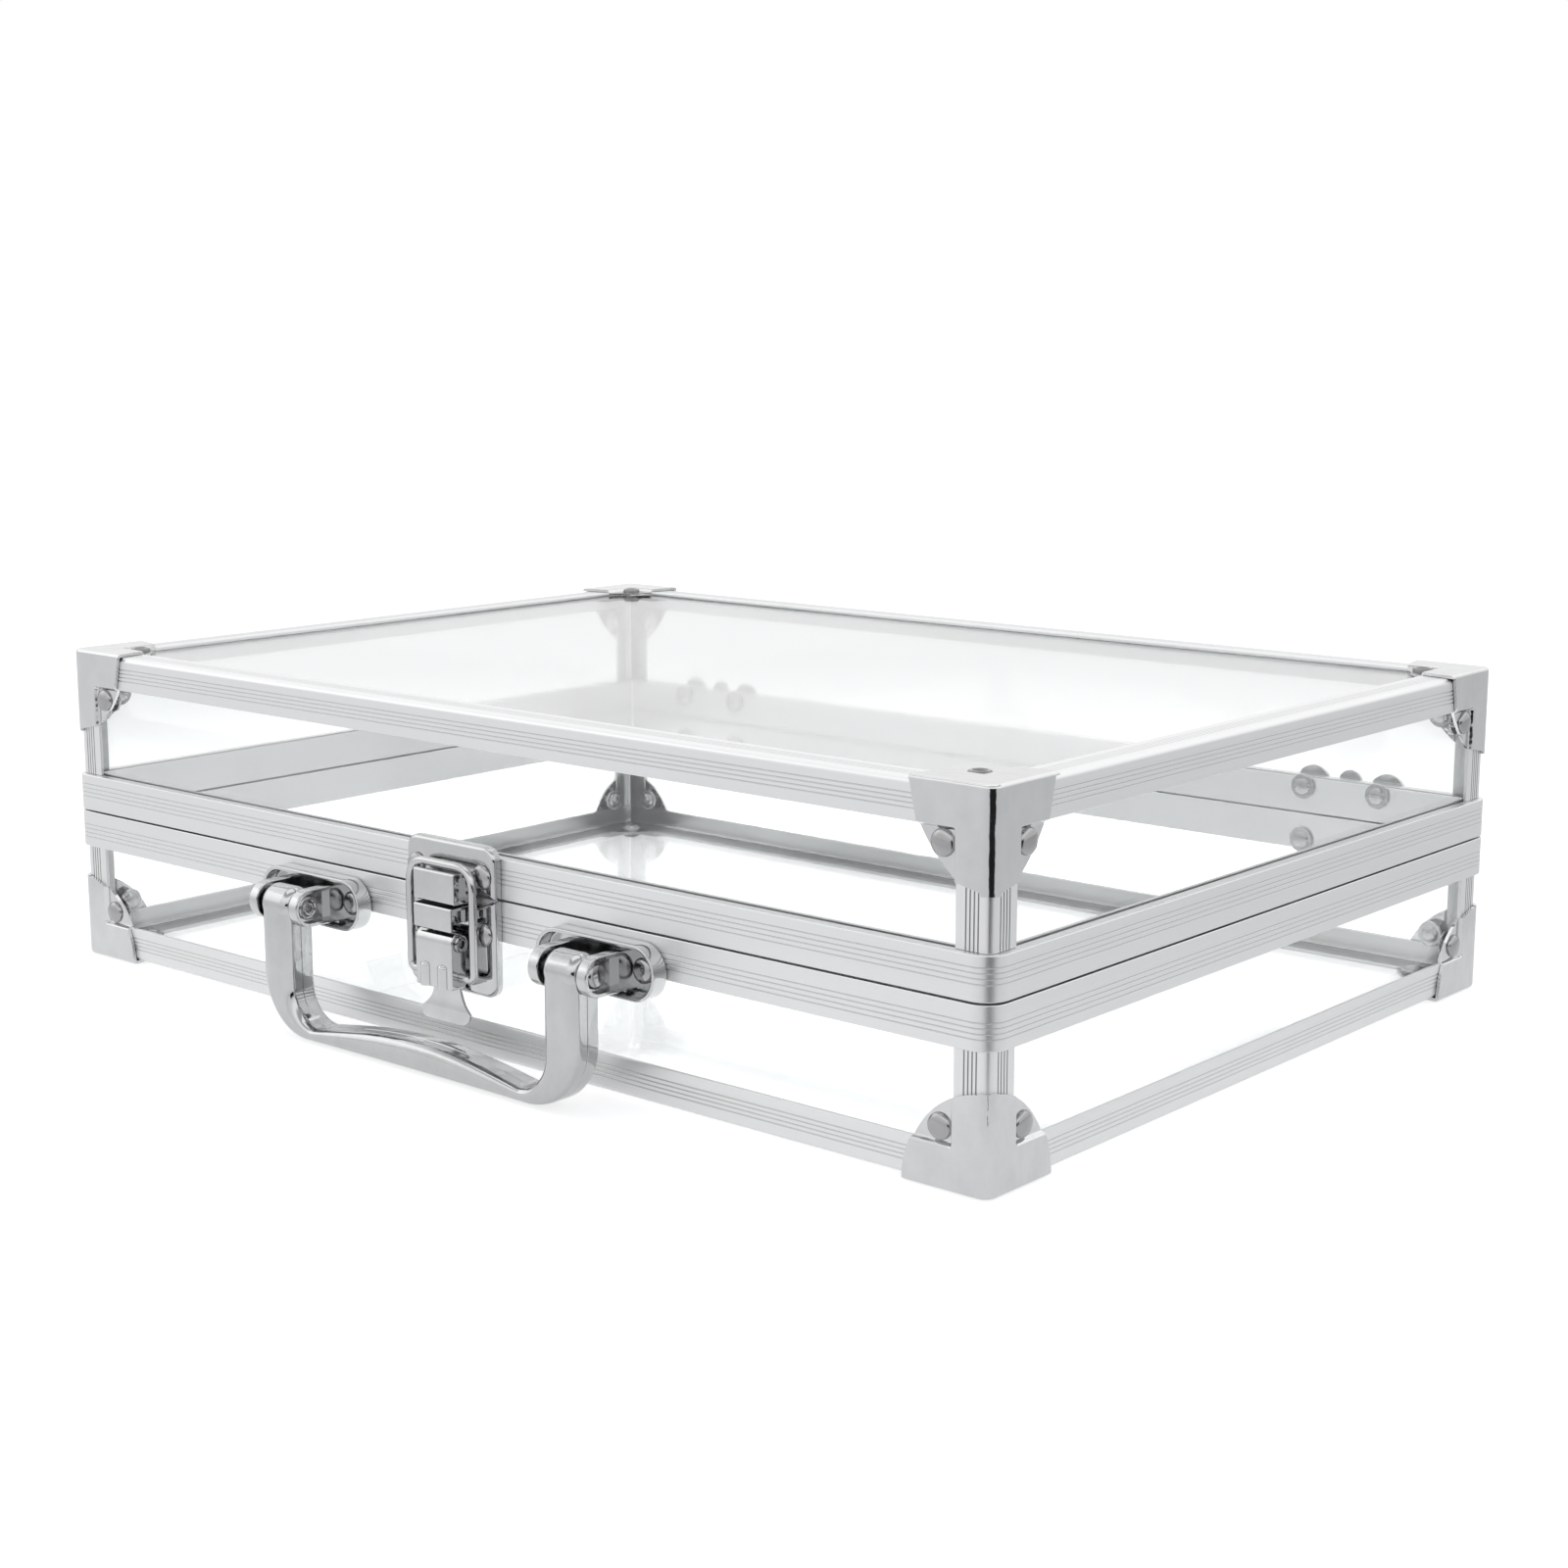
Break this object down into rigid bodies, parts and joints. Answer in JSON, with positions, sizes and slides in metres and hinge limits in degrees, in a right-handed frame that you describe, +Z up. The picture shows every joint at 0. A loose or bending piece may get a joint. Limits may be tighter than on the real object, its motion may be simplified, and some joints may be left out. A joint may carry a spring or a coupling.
{
  "type": "jewelry case",
  "caption": "Clear-walled jewelry display case with an aluminium frame, chromed corner guards, a hinged lid, a draw latch and a swinging carrying handle.",
  "frame": {"origin": "on the floor under the middle of the whole case's box, handle and hinges included", "axes": "+Z up, -Y towards the latch and the handle, +X to the right as seen from the front"},
  "size_m": [0.366, 0.2834, 0.1],
  "materials": {
    "panes": "clear acrylic, polished",
    "rails": "anodised, finely brushed along its length",
    "posts": "anodised, finely brushed along its length",
    "rim_bands": "anodised, finely brushed along its length",
    "guards": "bright plated steel",
    "hinges": "bright plated steel",
    "latch": "bright plated steel",
    "bail": "bright plated wire",
    "handle": "bright plated metal",
    "brackets": "bright plated steel",
    "rivets": "bright plated steel",
    "pins": "plain steel"
  },
  "bodies": {
    "base": {"base_bottom_pane": "panes", "base_front_pane": "panes", "base_back_pane": "panes", "base_left_pane": "panes", "base_right_pane": "panes", "base_front_rail": "rails", "base_back_rail": "rails", "base_left_rail": "rails", "base_right_rail": "rails", "base_front_left_post": "posts", "base_front_right_post": "posts", "base_back_left_post": "posts", "base_back_right_post": "posts", "base_rim_band": "rim_bands", "base_front_left_guard": "guards", "base_front_right_guard": "guards", "base_back_left_guard": "guards", "base_back_right_guard": "guards", "left_hinge_base_leaf": "hinges", "left_hinge_pin": "pins", "right_hinge_base_leaf": "hinges", "right_hinge_pin": "pins", "latch_plate": "latch", "latch_lever_pin": "pins", "latch_base_left_rivet": "rivets", "latch_base_right_rivet": "rivets", "left_handle_bracket": "brackets", "left_handle_pin": "pins", "left_bracket_left_rivet": "rivets", "left_bracket_right_rivet": "rivets", "right_handle_bracket": "brackets", "right_handle_pin": "pins", "right_bracket_left_rivet": "rivets", "right_bracket_right_rivet": "rivets"},
    "lid": {"lid_top_pane": "panes", "lid_front_pane": "panes", "lid_back_pane": "panes", "lid_left_pane": "panes", "lid_right_pane": "panes", "lid_front_rail": "rails", "lid_back_rail": "rails", "lid_left_rail": "rails", "lid_right_rail": "rails", "lid_front_left_post": "posts", "lid_front_right_post": "posts", "lid_back_left_post": "posts", "lid_back_right_post": "posts", "lid_rim_band": "rim_bands", "lid_front_left_guard": "guards", "lid_front_right_guard": "guards", "lid_back_left_guard": "guards", "lid_back_right_guard": "guards", "left_hinge_lid_leaf": "hinges", "right_hinge_lid_leaf": "hinges", "latch_keeper": "latch", "latch_lid_left_rivet": "rivets", "latch_lid_right_rivet": "rivets"},
    "handle": {"handle": "handle"},
    "latch_lever": {"latch_lever": "latch"},
    "latch_bail": {"latch_bail": "bail"}
  },
  "joints": [
    {"name": "lid_hinge", "type": "hinge", "parent": "base", "child": "lid", "pos_m": [0, 0.13945, 0.048], "axis": [-1, 0, 0], "range_deg": [0, 100]},
    {"name": "handle_swing", "type": "hinge", "parent": "base", "child": "handle", "pos_m": [0, -0.13615, 0.038], "axis": [-1, 0, 0], "range_deg": [-5, 100]},
    {"name": "latch_lever_swing", "type": "hinge", "parent": "base", "child": "latch_lever", "pos_m": [0, -0.12865, 0.0352], "axis": [-1, 0, 0], "range_deg": [0, 90]},
    {"name": "latch_bail_swing", "type": "hinge", "parent": "latch_lever", "child": "latch_bail", "pos_m": [0, -0.12865, 0.0256], "axis": [1, 0, 0], "range_deg": [0, 90]}
  ],
  "couplings": [
    {"joint": "latch_bail_swing", "follows": "latch_lever_swing", "ratio": 1}
  ]
}
